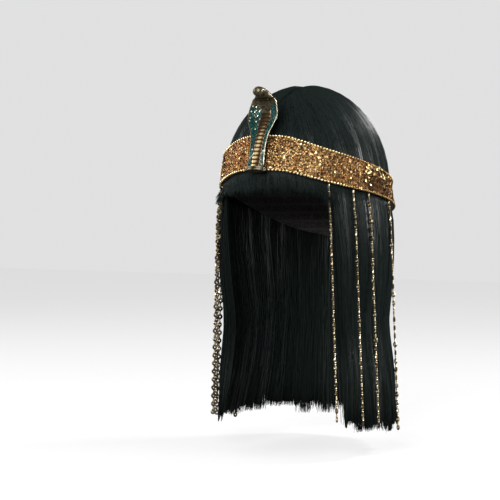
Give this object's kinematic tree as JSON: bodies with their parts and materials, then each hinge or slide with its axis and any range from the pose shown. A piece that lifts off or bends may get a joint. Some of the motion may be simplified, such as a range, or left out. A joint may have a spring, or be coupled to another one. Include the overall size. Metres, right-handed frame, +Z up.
{
  "type": "egyptian queen wig with headband",
  "caption": "Straight black shoulder-length wig with a blunt fringe on a stretch cap, under a sequinned gold headband with a rearing cobra and hanging bead strings.",
  "frame": {"origin": "inside of the cap at the crown, where the wig sits on the top of the head", "axes": "+Z up, away from the head; -Y the way the wearer faces; +X the wearer's left"},
  "size_m": [0.196, 0.2178, 0.3469],
  "materials": {
    "hair": "straight synthetic fibre with a soft shine",
    "cap": "knitted stretch net",
    "sequins": "gold sequins on cloth",
    "cobra_plastic": "moulded, painted teal green and bronze",
    "beads": "gold metallised"
  },
  "bodies": {
    "root": {"wig_cap": "cap", "crown_hair": "hair", "fringe": "hair", "back_hair": "hair", "side_hair_left": "hair", "side_hair_right": "hair", "headband": "sequins", "cobra": "cobra_plastic", "bead_string_left_1": "beads", "bead_string_left_2": "beads", "bead_string_left_3": "beads", "bead_string_left_4": "beads", "bead_string_right_1": "beads", "bead_string_right_2": "beads", "bead_string_right_3": "beads", "bead_string_right_4": "beads"}
  },
  "joints": []
}
